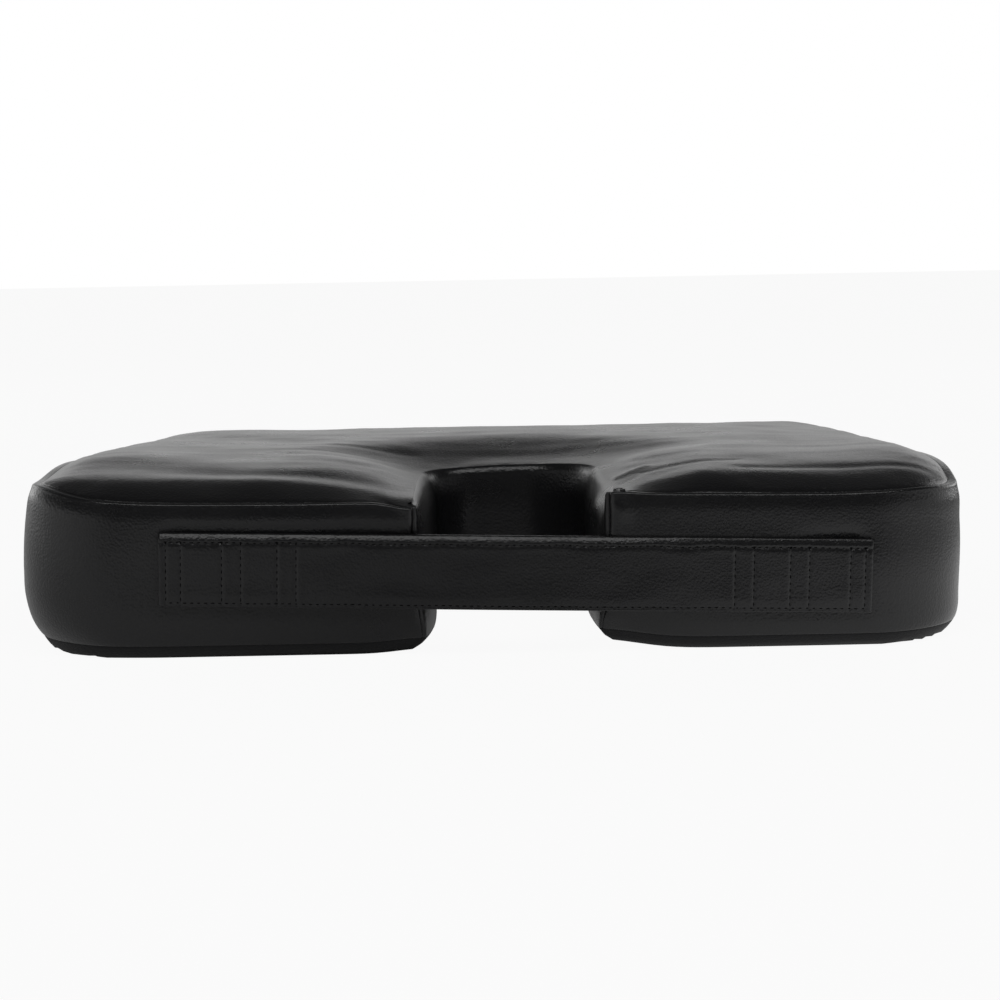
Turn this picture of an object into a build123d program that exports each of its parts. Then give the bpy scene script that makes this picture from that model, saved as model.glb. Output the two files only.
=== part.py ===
from build123d import *
from math import atan2, tan
import os

os.makedirs("parts", exist_ok=True)

# U-notch seat cushion: a foam block in a sewn leatherette cover, with a carry strap
# across the mouth of the notch and a moulded zip along the far wall.
# Millimetres. The strap edge faces -Y, the zip wall +Y, and the cushion rests on Z = 0.

# Plan of the cushion
near_width = 438.0  # between the corners of the strap edge, before they are rounded
far_width = 400.0  # the same at the zip wall
full_width = 454.0  # of the bowed sides, where they are nearly at their widest
full_width_setback = 105.0  # from the strap edge to where that is measured
depth = 350.0
near_corner_radius = 45.0
far_corner_radius = 36.0

# Height, with the seams that join the top and bottom panels to the walls
near_height = 79.5
far_height = 72.5
crown_height = 8.8  # top of the cushion above the top seam
top_roll = 8.0  # width and height of the top edge's slope
top_ease = 3.0  # of the gentler slope that leads from it to the top
bottom_seam_height = 6.5
bottom_roll = 5.5  # width and height of the bottom edge's slope

# Notch for the tailbone
notch_offset = 9.2  # how far it sits to the right of the middle
notch_mouth_width = 86.0
notch_end_width = 77.0
notch_depth = 144.0
notch_end_radius = 34.0
notch_mouth_radius = 12.0
notch_seam_setback = 3.5  # from the notch's walls to the upright seams beside its mouth

# Cover and foam
cover_thickness = 1.2
foam_clearance = 0.3

# Carry strap: a folded leatherette sleeve round a webbing core
strap_length = 326.6
strap_height = 34.0
strap_thickness = 3.4
strap_wall = 0.9
strap_edge_radius = 1.4
strap_offset = 10.7  # of its middle, to the right
strap_mid_height = 38.6
strap_tilt = 1.6  # degrees, right end down
strap_slit = 0.3  # between the sleeve's turned-in edges
webbing_thickness = 1.2
webbing_margin = 0.6  # between the webbing's edges and the sleeve's folds
webbing_setback = 3.0  # from the sleeve's ends
seat_clearance = 0.2  # between the strap and the wall it is sewn to

# Zip tapes
zip_length = 300.0  # between the edges of the two side panels
tape_height = 13.0  # of one tape, from the zip's centre line
tape_thickness = 0.6
tape_overlap = 8.0  # of the tapes under the side panels
relief_clearance = 0.5  # between the foam's channel and the zip behind the wall

# Zip teeth, moulded on the tapes
tooth_pitch = 3.0
tooth_thickness = 2.6
tooth_root_width = 2.2
tooth_neck_width = 0.84
tooth_head_width = 1.7
tooth_tip_width = 1.0
tooth_reach = 1.2  # of a tooth's tip past the centre line
tooth_root_reach = 3.0  # of its root, the other way
tooth_waist = 0.6  # from the centre line to the neck, and to the widest of the head

# Zip ends
end_margin = 2.0  # from a side panel's edge to the nearest stop
top_stop_length = 2.4
top_stop_edge = 1.0  # from the centre line to each top stop
box_length = 6.0
box_height = 7.4
box_chamfer = 0.8
stop_clearance = 0.3

# Slider and its pull
slider_length = 9.6
slider_front_width = 10.4
plate_thickness = 1.2
slider_wall = 1.0
chain_clearance = 0.3  # between the teeth and the slider's side walls
plate_clearance = 0.2  # between the teeth and the slider's plates, and round the tape
wedge_length = 3.2
wedge_width = 3.6
wedge_setback = 0.8
window_clearance = 0.5  # between the slider's widest point and the cover's edges
bridge_width = 1.6
bridge_thickness = 1.0
pull_thickness = 1.2
pull_clearance = 0.3
pull_length = 26.0
pull_root_width = 5.4
pull_tip_width = 7.6

# Places that follow from the sizes
near_y = -depth / 2
far_y = depth / 2
slope = atan2(near_height - far_height, depth)
notch_end_y = near_y + notch_depth
notch_seam_width = notch_mouth_width + 2 * notch_seam_setback
foam_inset = cover_thickness + foam_clearance
slope_loss = 2 - 2**0.5  # what a 45 degree slope loses when its corner moves in by 1
strap_y = near_y - seat_clearance - strap_thickness / 2
zip_z = (bottom_seam_height + far_height - crown_height) / 2
zip_window = slider_front_width + 2 * window_clearance
tape_out = far_y - cover_thickness
tape_in = tape_out - tape_thickness
chain_y = (tape_out + tape_in) / 2
tooth_out = chain_y + tooth_thickness / 2
tooth_in = chain_y - tooth_thickness / 2
plate_out = tooth_out + plate_clearance + plate_thickness
plate_in = tooth_in - plate_clearance - plate_thickness
slider_rear_width = 2 * (tooth_root_reach + chain_clearance + slider_wall)
zip_left = -zip_length / 2 + end_margin
zip_right = zip_length / 2 - end_margin
slider_left = zip_left + top_stop_length + stop_clearance
slider_right = slider_left + slider_length
slider_x = (slider_left + slider_right) / 2
wedge_x = slider_left + wedge_setback + wedge_length / 2
chain_left = wedge_x + wedge_length / 2 + stop_clearance
chain_right = zip_right - box_length - stop_clearance
teeth_a_row = int((chain_right - chain_left - tooth_root_width) / tooth_pitch + 0.5)
pull_y = plate_out + pull_clearance + pull_thickness / 2
eye_reach = pull_thickness / 2 + pull_clearance  # from the pull's pin to the bridge
bridge_reach = eye_reach + bridge_thickness
slot_width = bridge_width + 2 * pull_clearance
slot_reach = (bridge_reach**2 + bridge_reach**2) ** 0.5 + pull_clearance
slider_travel = chain_right - slider_right


def tilted_plane(height):
    # follows the wedge of the top, at this height above the strap edge
    return Plane(origin=(0, near_y, height), x_dir=(1, 0, 0), z_dir=(0, tan(slope), 1))


def zip_plane(y):
    # upright in the zip's middle, X along the zip and Y up, facing the strap edge
    return Plane(origin=(0, y, zip_z), x_dir=(1, 0, 0), z_dir=(0, -1, 0))


def cushion_block(inset):
    # the cushion's whole form, with every face moved in by the inset
    with BuildPart() as block:
        with BuildSketch(Plane.XY.offset(inset)) as plan:
            with BuildLine():
                right = ThreePointArc(
                    (near_width / 2, near_y),
                    (full_width / 2, near_y + full_width_setback),
                    (far_width / 2, far_y),
                )
                left = mirror(right, about=Plane.YZ)
                Line(right @ 0, left @ 0)
                Line(right @ 1, left @ 1)
            make_face()
            fillet(plan.vertices().group_by(Axis.Y)[0], near_corner_radius)
            fillet(plan.vertices().group_by(Axis.Y)[-1], far_corner_radius)
            with BuildLine():
                Polyline(
                    (notch_offset - notch_mouth_width / 2, near_y),
                    (notch_offset - notch_end_width / 2, notch_end_y),
                    (notch_offset + notch_end_width / 2, notch_end_y),
                    (notch_offset + notch_mouth_width / 2, near_y),
                    close=True,
                )
            make_face(mode=Mode.SUBTRACT)
            mouth = plan.vertices().group_by(Axis.Y)[0].sort_by(Axis.X)[1:3]
            fillet(mouth, notch_mouth_radius)
            end = plan.vertices().filter_by_position(
                Axis.Y, notch_end_y - foam_clearance, notch_end_y + foam_clearance
            )
            fillet(end, notch_end_radius)
            if inset > 0:
                offset(amount=-inset, mode=Mode.REPLACE)
        extrude(amount=near_height)
        split(bisect_by=tilted_plane(near_height - inset), keep=Keep.BOTTOM)
        # slopes at 45 degrees, kept parallel to those of the outer form
        chamfer(block.faces().sort_by(Axis.Z)[-1].edges(), top_roll - slope_loss * inset)
        chamfer(block.faces().sort_by(Axis.Z)[-1].edges(), top_ease)
        chamfer(block.faces().sort_by(Axis.Z)[0].edges(), bottom_roll - slope_loss * inset)
    return block.part


top_seam_plane = tilted_plane(near_height - crown_height)
bottom_seam_plane = Plane.XY.offset(bottom_seam_height)

# The cover as one shell, and the band of its walls between the two seams
with BuildPart() as cover:
    add(cushion_block(0))
    add(cushion_block(cover_thickness), mode=Mode.SUBTRACT)

with BuildPart() as wall_band:
    add(cover.part)
    split(bisect_by=top_seam_plane, keep=Keep.BOTTOM)
    split(bisect_by=bottom_seam_plane, keep=Keep.TOP)

# What the notch panel takes of the band, and what the zip strips take
with BuildPart() as notch_zone:
    with BuildSketch():
        with Locations((notch_offset, near_y)):
            Rectangle(notch_seam_width, 2 * (notch_depth + 2 * cover_thickness))
    extrude(amount=near_height)

with BuildPart() as zip_zone:
    with BuildSketch(zip_plane(far_y)):
        Rectangle(zip_length, near_height)
    extrude(amount=2 * cover_thickness)

with BuildPart() as foam_core:
    add(cushion_block(foam_inset))
    # channel that clears the tapes, the teeth and the slider behind the wall
    with BuildSketch(zip_plane(far_y)):
        Rectangle(
            zip_length + 2 * (tape_overlap + relief_clearance),
            2 * (tape_height + relief_clearance),
        )
    extrude(amount=far_y - plate_in + relief_clearance, mode=Mode.SUBTRACT)
foam_core.part.label = "foam_core"
export_step(foam_core.part, "parts/foam_core.step")

with BuildPart() as top_panel:
    add(cover.part)
    split(bisect_by=top_seam_plane, keep=Keep.TOP)
top_panel.part.label = "top_panel"
export_step(top_panel.part, "parts/top_panel.step")

with BuildPart() as bottom_panel:
    add(cover.part)
    split(bisect_by=bottom_seam_plane, keep=Keep.BOTTOM)
bottom_panel.part.label = "bottom_panel"
export_step(bottom_panel.part, "parts/bottom_panel.step")

with BuildPart() as notch_panel:
    add(wall_band.part)
    add(notch_zone.part, mode=Mode.INTERSECT)
notch_panel.part.label = "notch_panel"
export_step(notch_panel.part, "parts/notch_panel.step")

with BuildPart() as side_panel_left:
    add(wall_band.part)
    add(notch_zone.part, mode=Mode.SUBTRACT)
    add(zip_zone.part, mode=Mode.SUBTRACT)
    split(bisect_by=Plane.YZ.offset(notch_offset), keep=Keep.BOTTOM)
side_panel_left.part.label = "side_panel_left"
export_step(side_panel_left.part, "parts/side_panel_left.step")

with BuildPart() as side_panel_right:
    add(wall_band.part)
    add(notch_zone.part, mode=Mode.SUBTRACT)
    add(zip_zone.part, mode=Mode.SUBTRACT)
    split(bisect_by=Plane.YZ.offset(notch_offset), keep=Keep.TOP)
side_panel_right.part.label = "side_panel_right"
export_step(side_panel_right.part, "parts/side_panel_right.step")

# Narrow strips above and below the zip's window
with BuildPart() as zip_strip_upper:
    add(wall_band.part)
    add(zip_zone.part, mode=Mode.INTERSECT)
    split(bisect_by=Plane.XY.offset(zip_z + zip_window / 2), keep=Keep.TOP)
zip_strip_upper.part.label = "zip_strip_upper"
export_step(zip_strip_upper.part, "parts/zip_strip_upper.step")

with BuildPart() as zip_strip_lower:
    add(wall_band.part)
    add(zip_zone.part, mode=Mode.INTERSECT)
    split(bisect_by=Plane.XY.offset(zip_z - zip_window / 2), keep=Keep.BOTTOM)
zip_strip_lower.part.label = "zip_strip_lower"
export_step(zip_strip_lower.part, "parts/zip_strip_lower.step")

# Tapes, which lie behind the strips and run on under the side panels
with BuildPart() as zip_tape_upper:
    with BuildSketch(zip_plane(tape_out)):
        with Locations((0, (tooth_root_reach + tape_height) / 2)):
            Rectangle(zip_length + 2 * tape_overlap, tape_height - tooth_root_reach)
    extrude(amount=tape_thickness)
zip_tape_upper.part.label = "zip_tape_upper"
export_step(zip_tape_upper.part, "parts/zip_tape_upper.step")

with BuildPart() as zip_tape_lower:
    with BuildSketch(zip_plane(tape_out)):
        with Locations((0, -(tooth_root_reach + tape_height) / 2)):
            Rectangle(zip_length + 2 * tape_overlap, tape_height - tooth_root_reach)
    extrude(amount=tape_thickness)
zip_tape_lower.part.label = "zip_tape_lower"
export_step(zip_tape_lower.part, "parts/zip_tape_lower.step")

# One tooth of the upper row: a root on the tape's edge, a neck, and a head that
# catches behind the heads of the lower row
with BuildPart() as tooth:
    with BuildSketch(zip_plane(tooth_out)):
        with BuildLine():
            Polyline(
                (-tooth_root_width / 2, tooth_root_reach),
                (-tooth_neck_width / 2, tooth_waist),
                (-tooth_head_width / 2, -tooth_waist),
                (-tooth_tip_width / 2, -tooth_reach),
                (tooth_tip_width / 2, -tooth_reach),
                (tooth_head_width / 2, -tooth_waist),
                (tooth_neck_width / 2, tooth_waist),
                (tooth_root_width / 2, tooth_root_reach),
                close=True,
            )
        make_face()
    extrude(amount=tooth_thickness)

first_tooth_x = chain_left + tooth_root_width / 2

with BuildPart() as zip_teeth_upper:
    with Locations(*[(first_tooth_x + n * tooth_pitch, 0, 0) for n in range(teeth_a_row)]):
        add(tooth.part)
zip_teeth_upper.part.label = "zip_teeth_upper"
export_step(zip_teeth_upper.part, "parts/zip_teeth_upper.step")

# The lower row is the upper one turned over and moved half a pitch along
with BuildPart() as zip_teeth_lower:
    flipped = tooth.part.mirror(Plane(origin=(0, 0, zip_z), z_dir=(0, 0, 1)))
    with Locations(
        *[(first_tooth_x + (n + 0.5) * tooth_pitch, 0, 0) for n in range(teeth_a_row)]
    ):
        add(flipped)
zip_teeth_lower.part.label = "zip_teeth_lower"
export_step(zip_teeth_lower.part, "parts/zip_teeth_lower.step")

# Stops at the closed end, one on each tape
with BuildPart() as zip_top_stops:
    with BuildSketch(zip_plane(tooth_out)):
        with Locations((zip_left + top_stop_length / 2, 0)):
            Rectangle(top_stop_length, 2 * tooth_root_reach)
            Rectangle(top_stop_length, 2 * top_stop_edge, mode=Mode.SUBTRACT)
    extrude(amount=tooth_thickness)
zip_top_stops.part.label = "zip_top_stops"
export_step(zip_top_stops.part, "parts/zip_top_stops.step")

# Box that joins the two tapes at the other end
with BuildPart() as zip_bottom_stop:
    with BuildSketch(zip_plane(tooth_out)) as box_plan:
        with Locations((zip_right - box_length / 2, 0)):
            Rectangle(box_length, box_height)
        chamfer(box_plan.vertices(), box_chamfer)
    extrude(amount=tooth_thickness)
    add(zip_tape_upper.part, mode=Mode.SUBTRACT)
    add(zip_tape_lower.part, mode=Mode.SUBTRACT)
zip_bottom_stop.part.label = "zip_bottom_stop"
export_step(zip_bottom_stop.part, "parts/zip_bottom_stop.step")

# Slider: two plates shaped like a shield, side walls with a slot for the tapes, the
# wedge between the plates that parts the teeth, and the bridge that holds the pull
with BuildSketch(zip_plane(plate_out)) as shield:
    with BuildLine():
        Polyline(
            (slider_left, -slider_front_width / 2),
            (slider_left + wedge_length, -slider_front_width / 2),
            (slider_right, -slider_rear_width / 2),
            (slider_right, slider_rear_width / 2),
            (slider_left + wedge_length, slider_front_width / 2),
            (slider_left, slider_front_width / 2),
            close=True,
        )
    make_face()
    fillet(shield.vertices(), slider_wall)

with BuildPart() as zip_slider:
    add(extrude(shield.sketch, amount=plate_out - plate_in, mode=Mode.PRIVATE))
    # passage for the two rows of teeth
    with BuildSketch(zip_plane(plate_out - plate_thickness)):
        with BuildLine():
            front = slider_front_width / 2 - slider_wall
            rear = slider_rear_width / 2 - slider_wall
            Polyline(
                (slider_left - slider_wall, -front),
                (slider_left + wedge_length, -front),
                (slider_right, -rear),
                (slider_right + slider_wall, -rear),
                (slider_right + slider_wall, rear),
                (slider_right, rear),
                (slider_left + wedge_length, front),
                (slider_left - slider_wall, front),
                close=True,
            )
        make_face()
    extrude(amount=tooth_thickness + 2 * plate_clearance, mode=Mode.SUBTRACT)
    # slots in the side walls for the tapes
    with BuildSketch(zip_plane(tape_out + plate_clearance)):
        with Locations((slider_x, 0)):
            Rectangle(slider_length + 2 * slider_wall, 2 * slider_front_width)
    extrude(amount=tape_thickness + 2 * plate_clearance, mode=Mode.SUBTRACT)
    # wedge, pointed at both ends
    with BuildSketch(zip_plane(plate_out - plate_thickness / 2)):
        with Locations((wedge_x, 0)):
            Polygon(
                (-wedge_length / 2, 0),
                (-wedge_length / 6, -wedge_width / 2),
                (wedge_length / 6, -wedge_width / 2),
                (wedge_length / 2, 0),
                (wedge_length / 6, wedge_width / 2),
                (-wedge_length / 6, wedge_width / 2),
            )
    extrude(amount=plate_out - plate_in - plate_thickness)
    # bridge over the pull's pin
    with BuildSketch(Plane.XY.offset(zip_z - bridge_width / 2)) as arch:
        with Locations((slider_x, (plate_out + pull_y + bridge_reach) / 2)):
            Rectangle(2 * bridge_reach, pull_y + bridge_reach - plate_out)
        fillet(arch.vertices().group_by(Axis.Y)[-1], bridge_thickness)
        with Locations((slider_x, (plate_out + pull_y + eye_reach) / 2)):
            Rectangle(2 * eye_reach, pull_y + eye_reach - plate_out, mode=Mode.SUBTRACT)
    extrude(amount=bridge_width)
zip_slider.part.label = "zip_slider"
export_step(zip_slider.part, "parts/zip_slider.step")

# Pull: a tab with a slot that the bridge stands in, closed by the pin under the bridge
with BuildPart() as zip_pull:
    with BuildSketch(zip_plane(pull_y + pull_thickness / 2)) as tab:
        with Locations((slider_x, 0)):
            Polygon(
                (0, -pull_root_width / 2),
                (pull_length - pull_tip_width / 2, -pull_tip_width / 2),
                (pull_length - pull_tip_width / 2, pull_tip_width / 2),
                (0, pull_root_width / 2),
                align=None,
            )
        with Locations((slider_x + pull_length - pull_tip_width / 2, 0)):
            Circle(pull_tip_width / 2)
        with Locations((slider_x + slot_reach / 2, 0)):
            Rectangle(slot_reach, slot_width, mode=Mode.SUBTRACT)
    extrude(amount=pull_thickness)
    with BuildSketch(Plane.XY.offset(zip_z - pull_root_width / 2)):
        with Locations((slider_x, pull_y)):
            Circle(pull_thickness / 2)
    extrude(amount=pull_root_width)
zip_pull.part.label = "zip_pull"
export_step(zip_pull.part, "parts/zip_pull.step")

# Carry strap, lying against the strap edge a little out of level
strap_plane = Plane(
    origin=(strap_offset, strap_y, strap_mid_height),
    x_dir=Vector(1, 0, 0).rotate(Axis.Y, strap_tilt),
    z_dir=(0, -1, 0),
)
strap_start = Plane(
    origin=strap_plane.from_local_coords((-strap_length / 2, 0, 0)),
    x_dir=strap_plane.y_dir,
    z_dir=strap_plane.x_dir,
)

# Sleeve: folded over at the top, with its edges turned in and meeting underneath
with BuildPart() as handle_sleeve:
    with BuildSketch(strap_start) as fold:
        RectangleRounded(strap_height, strap_thickness, strap_edge_radius)
        RectangleRounded(
            strap_height - 2 * strap_wall,
            strap_thickness - 2 * strap_wall,
            strap_edge_radius - strap_wall,
            mode=Mode.SUBTRACT,
        )
        with Locations((-strap_height / 2, 0)):
            Rectangle(4 * strap_wall, strap_slit, mode=Mode.SUBTRACT)
    extrude(amount=strap_length)
handle_sleeve.part.label = "handle_sleeve"
export_step(handle_sleeve.part, "parts/handle_sleeve.step")

with BuildPart() as handle_core:
    with BuildSketch(strap_start.offset(webbing_setback)):
        Rectangle(strap_height - 2 * (strap_wall + webbing_margin), webbing_thickness)
    extrude(amount=strap_length - 2 * webbing_setback)
handle_core.part.label = "handle_core"
export_step(handle_core.part, "parts/handle_core.step")

print(f"zip: {teeth_a_row} teeth a row, slider travel {slider_travel:.2f} mm")
print(f"pull pin at ({slider_x:.3f}, {pull_y:.3f}), zip height {zip_z:.3f}")
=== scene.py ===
import math

import bmesh
import bpy
import numpy as np
from mathutils import Matrix, Vector, noise
from mathutils.kdtree import KDTree


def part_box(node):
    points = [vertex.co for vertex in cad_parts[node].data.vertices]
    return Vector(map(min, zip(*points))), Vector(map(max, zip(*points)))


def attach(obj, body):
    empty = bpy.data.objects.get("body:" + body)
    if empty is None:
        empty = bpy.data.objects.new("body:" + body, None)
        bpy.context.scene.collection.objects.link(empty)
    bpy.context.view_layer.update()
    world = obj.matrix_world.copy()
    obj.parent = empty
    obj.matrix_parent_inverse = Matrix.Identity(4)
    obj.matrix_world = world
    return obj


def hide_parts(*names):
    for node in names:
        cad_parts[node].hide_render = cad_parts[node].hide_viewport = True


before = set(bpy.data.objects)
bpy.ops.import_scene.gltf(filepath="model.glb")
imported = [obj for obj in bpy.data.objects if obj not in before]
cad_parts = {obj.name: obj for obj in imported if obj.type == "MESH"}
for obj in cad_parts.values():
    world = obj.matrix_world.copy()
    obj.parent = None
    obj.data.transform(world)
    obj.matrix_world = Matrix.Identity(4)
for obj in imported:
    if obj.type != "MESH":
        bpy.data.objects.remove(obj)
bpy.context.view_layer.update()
scene = bpy.context.scene
mm = 0.001


def boxMm(node):
    # lowest and highest corner of a CAD node, in millimetres
    low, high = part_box(node)
    return np.array(low) / mm, np.array(high) / mm


# The places that several pieces share come from the frame
topLow, topHigh = boxMm("top_panel")
upperStripLow, upperStripHigh = boxMm("zip_strip_upper")
lowerStripHigh = boxMm("zip_strip_lower")[1]
sleeveLow, sleeveHigh = boxMm("handle_sleeve")
notchLow, notchHigh = boxMm("notch_panel")
nearY, farY = topLow[1], topHigh[1]
halfWidth = topHigh[0]
notchX = (notchLow[0] + notchHigh[0]) / 2
strapHeight = 34.0


def hexColour(code):
    # sRGB hex to the linear colour that the shaders take
    parts = [int(code[i:i + 2], 16) / 255 for i in (0, 2, 4)]
    return [c / 12.92 if c <= 0.04045 else ((c + 0.055) / 1.055) ** 2.4 for c in parts] + [1.0]


def addNode(tree, kind, settings=None, values=None, links=None):
    # one node with its settings, its socket values and what feeds it
    node = tree.nodes.new(kind)
    for name, value in (settings or {}).items():
        setattr(node, name, value)
    for name, value in (values or {}).items():
        node.inputs[name].default_value = value
    for name, source in (links or {}).items():
        tree.links.new(source, node.inputs[name])
    return node


def smoothStep(low, high, x):
    t = np.clip((x - low) / (high - low), 0.0, 1.0)
    return t * t * (3 - 2 * t)


def hump(x, middle, width):
    return np.exp(-((x - middle) / width) ** 2)


def linkMesh(name, mesh):
    mesh.polygons.foreach_set("use_smooth", [True] * len(mesh.polygons))
    piece = bpy.data.objects.new(name, mesh)
    scene.collection.objects.link(piece)
    return piece


def placesOf(verts):
    return np.array([v.co[:] for v in verts])


def moveTo(verts, places):
    for vert, place in zip(verts, places):
        vert.co = place


def extent(edge, axis):
    # how far an edge runs along one axis
    return abs(edge.verts[0].co[axis] - edge.verts[1].co[axis])


def newObject(name, bm):
    mesh = bpy.data.meshes.new(name)
    bm.to_mesh(mesh)
    bm.free()
    return linkMesh(name, mesh)


def meshOf(piece):
    # what a piece's modifiers make of it, as a mesh of its own
    graph = bpy.context.evaluated_depsgraph_get()
    return bpy.data.meshes.new_from_object(piece.evaluated_get(graph), depsgraph=graph)


def points(mesh):
    co = np.zeros(len(mesh.vertices) * 3)
    mesh.vertices.foreach_get("co", co)
    return co.reshape(-1, 3)


# Cushion: an upright block with the plan cut into its panels, then shaped point by point.
# The block is in millimetres, and its height stands for the way up the wall.

cushion = {
    "nearHalf": 219.0,  # half width at the strap edge, corners not yet rounded
    "farHalf": 200.0,
    "bow": 16.3,  # how far the sides stand out past a straight line
    "nearCorner": 45.0,
    "farCorner": 36.0,
    "mouthCorner": 5.0,
    "notchEnds": (20.0, 34.0),  # corner radii at the notch's end, left and right
    "mouthHalf": 43.0,
    "endHalf": 38.5,
    "notchDepth": 144.0,
    "blockHeight": 60.0,
    "step": 2.6,  # spacing of the block's uprights
    "topGrid": 3.0,
    "bottomGrid": 5.0,
    "nearTop": 79.5,
    "farTop": 72.5,
    "seamNearLeft": 71.7,  # height of the top seam at the strap edge, left of the notch
    "seamNearRight": 73.6,
    "seamFar": 64.0,
    "seamEnds": (0.012, 0.02),  # it climbs towards the left end and falls towards the right
    "crown": 2.2,  # how much higher the middle of each side is than its edges
    "leftDip": 1.3,  # behind the first roll of the left side the top dips and rises again
    "mouthDip": 2.6,  # and beside the notch the end of the left side is sat down
    # the top rises from its seam in a roll, and then in a long slope: way along the strap edge,
    # the roll's share of the rise, and how far in from the wall the roll ends
    "topRolls": ((-200, 0.8, 42), (-150, 1.0, 40), (-110, 1.0, 34), (-62, 0.42, 27), (40, 0.3, 27),
                 (70, 0.35, 27), (100, 1.0, 27), (125, 0.8, 27), (165, 0.2, 20)),
    "topSlope": 80.0,
    "farRollShare": 0.92,
    "apronSide": 58.0,  # the top comes down to the notch in a long soft slope
    "apronEnd": 96.0,
    "ridge": 0.95,  # the walls turn over into the top seam with this radius,
    "ledge": 2.8,  # run level this far,
    "ledgeDrop": 0.08,  # and fall a little
    "ridgeInset": 1.4,  # the stitches hold the ridge back from the wall below
    "notchRoll": (1.8, 4.6),  # the notch's edge rolls over instead: reach in, and height
    "notchTurn": 42.0,  # degrees that it turns
    # how far its sides lean out: left and right, at the mouth and at the end
    "notchLean": ((1.0, 4.0), (6.0, 3.0)),
    "leanHeight": 15.0,
    "sideLean": (4.2, 0.6),  # how far the seam is pulled in from the widest, left and right,
    "sideTuck": (6.2, 1.2),  # and the underside
    "swell": (0.8, 1.2),  # how far the left side and the notch's walls fill out at half height
    "bottomTuck": 1.3,  # how far every wall turns in at the bottom
    "pucker": 0.35,  # how far the stitches draw the cover in beside the top seam
    "softWall": 0.7,  # how far the walls are from flat
    "softTop": (0.8, 0.3, 0.14),  # the same for the top: broad, small and in long ripples
    "strapTuck": 1.6,  # how far the wall gives way behind the strap's upper edge
    "mouthGroove": (0.3, 0.9),  # depth of the upright seams at the mouth, and what they gain high up
    "stripGrooves": (0.8, 0.35, 0.25),  # depth at the zip strips' ends, their window edges and folds
    "bottomSeam": 6.5,
    "bottomReach": 6.0,
    "bottomRoll": 9.0,
    "rollStart": 0.2,  # where on its curve the top's roll leaves the seam
    "groove": 0.5,
    "thickness": 1.2,
    "lip": 4.0,  # seam allowance turned into the seam
    "voxel": 4.0,
    "pressure": 4.0,
    "frames": 20,
    "cap": 3.4,  # the furthest that the filling pushes the cover
    "capEase": 10.0,
    "fillStep": 6.0,
    "foamStep": 5.0,
    "foamGrids": (8.0, 16.0),  # above and below
    "foamCorner": 22.0,
    "foamInset": 5.4,
    "foamGap": 2.2,  # left free above it and below it
}

# Rises and dips of the top seam: where in plan, how far each reaches, and how far up
seamPulls = [
    ((-212, nearY + 27), 32, 3.8),
    ((216, nearY + 34), 30, -3.2),
    ((notchX - 47, nearY), 11, -2.8),
    ((-40, nearY + 125), 26, -0.8),
    ((notchX + 49, nearY), 12, 0.9),
    ((notchX - 4, nearY + 144), 34, -1.0),
]

# Pulls in the cover: where, how far each reaches, and how far the cover moves there
pulls = [
    {"at": (3, nearY + 152, 72), "reach": (17, 9, 9), "move": (0, 0, 0.9)},
    {"at": (notchX + 43, nearY + 45, 62), "reach": (6, 15, 5), "move": (-1.6, 0, 0.8)},
    {"at": (notchX + 51, nearY, 66), "reach": (4, 6, 3.5), "move": (0, -1.3, 0)},
    {"at": (52, nearY, 0), "reach": (22, 30, 15), "move": (-3.5, 7, 4.2)},
    {"at": (50, nearY + 62, 0), "reach": (14, 50, 32), "move": (-5.0, 0, 0)},
    {"at": (-34, nearY + 40, 0), "reach": (12, 42, 30), "move": (6.0, 0, 0)},
    {"at": (-36, nearY, 0), "reach": (14, 16, 12), "move": (1.5, 3, 1.8)},
    {"at": (184, farY - 12, 66), "reach": (11, 16, 16), "move": (0, 0, 1.6)},
    {"at": (0, farY - 25, 70), "reach": (140, 50, 20), "move": (0, 0, 0.4)},
    {"at": (-190, farY - 50, 70), "reach": (46, 80, 30), "move": (0, 0, 1.6)},
    {"at": (-206, nearY + 120, 76), "reach": (50, 90, 20), "move": (0, 0, 5.6)},
    {"at": (212, nearY + 90, 72), "reach": (34, 110, 20), "move": (0, 0, 6.4)},
]

# Creases in the top: from, to, half width and height, in millimetres
creases = [
    ((-118, 6), (-44, -8), 9, -0.35),
    ((-112, -26), (-46, -34), 8, -0.25),
    ((-104, -48), (-44, -52), 8, -0.2),
    ((56, -150), (74, -122), 5, -0.35),
    ((74, -124), (118, -114), 6, -0.45),
    ((120, -138), (205, -136), 9, -0.6),
    ((50, -128), (74, -108), 7, 0.9),
]


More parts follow.
